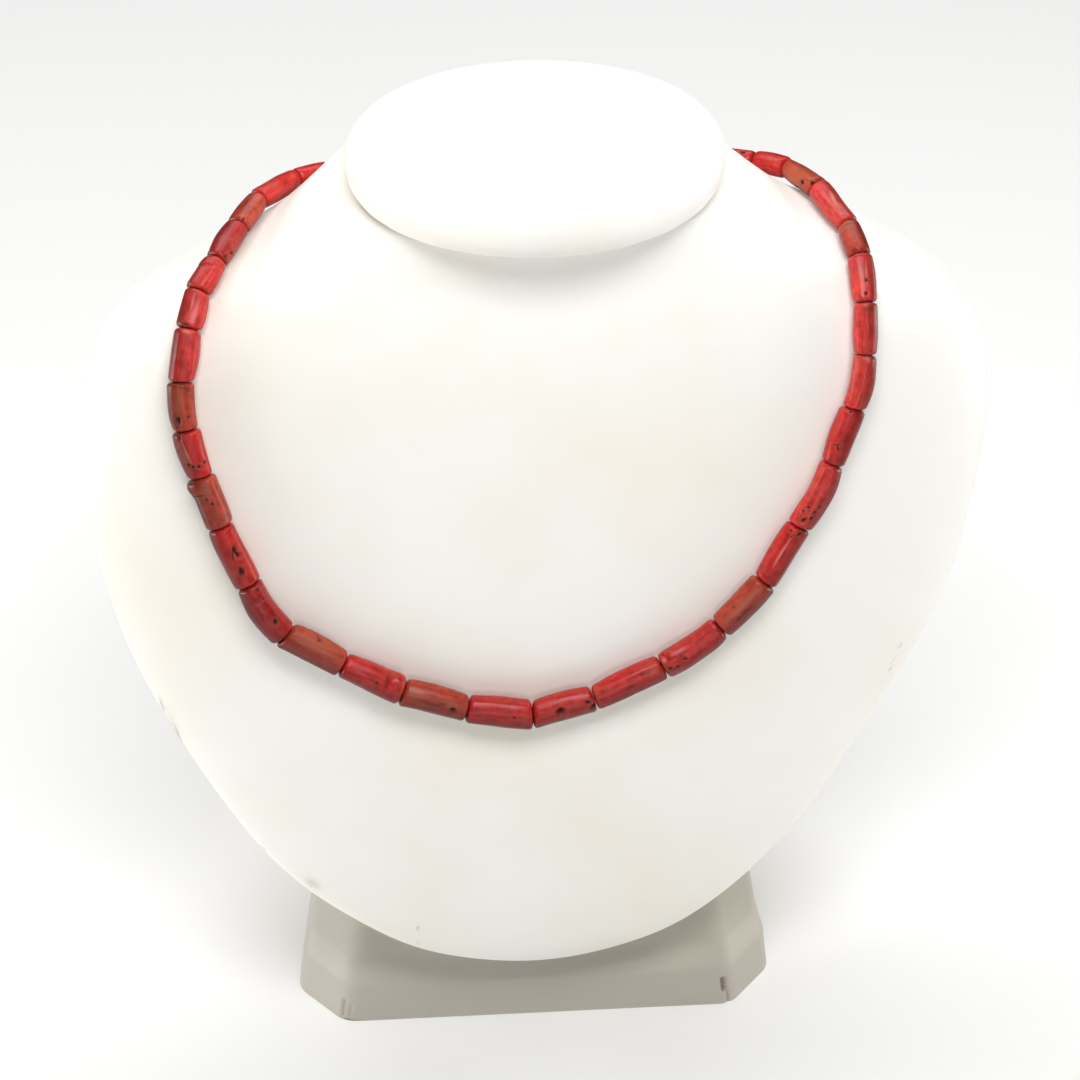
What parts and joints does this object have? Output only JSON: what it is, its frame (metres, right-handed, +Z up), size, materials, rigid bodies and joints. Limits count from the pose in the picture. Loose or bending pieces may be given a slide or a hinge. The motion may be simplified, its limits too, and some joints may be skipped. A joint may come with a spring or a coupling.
{
  "type": "coral bead necklace on display bust",
  "caption": "Strand of polished red coral tube beads with a barrel clasp, resting round the neck of a white leatherette display bust on a tapered foot.",
  "frame": {"origin": "centre of the pedestal's flat underside", "axes": "+Z up from the pedestal to the neck cap, -Y the way the chest faces, +X to the right as seen from the front"},
  "size_m": [0.1722, 0.1038, 0.1883],
  "materials": {
    "leatherette": "satin",
    "coral_red": "gloss",
    "coral_rust": "gloss",
    "coral_pink": "gloss",
    "coral_deep": "gloss",
    "thread": "matte",
    "clasp": "polished"
  },
  "bodies": {
    "root": {"bust_form": "leatherette", "neck_cap": "leatherette", "pedestal": "leatherette", "bead_01": "coral_red", "bead_02": "coral_rust", "bead_03": "coral_red", "bead_04": "coral_deep", "bead_05": "coral_red", "bead_06": "coral_red", "bead_07": "coral_rust", "bead_08": "coral_deep", "bead_09": "coral_pink", "bead_10": "coral_pink", "bead_11": "coral_pink", "bead_12": "coral_rust", "bead_13": "coral_red", "bead_14": "coral_rust", "bead_15": "coral_red", "bead_16": "coral_deep", "bead_17": "coral_rust", "bead_18": "coral_red", "bead_19": "coral_rust", "bead_20": "coral_red", "bead_21": "coral_red", "bead_22": "coral_red", "bead_23": "coral_red", "bead_24": "coral_rust", "bead_25": "coral_red", "bead_26": "coral_pink", "bead_27": "coral_red", "bead_28": "coral_pink", "bead_29": "coral_pink", "bead_30": "coral_pink", "bead_31": "coral_rust", "bead_32": "coral_pink", "bead_33": "coral_rust", "bead_34": "coral_red", "bead_35": "coral_red", "bead_36": "coral_deep", "bead_37": "coral_red", "bead_38": "coral_rust", "bead_39": "coral_red", "clasp_socket": "clasp", "clasp_screw": "clasp", "thread": "thread"}
  },
  "joints": []
}
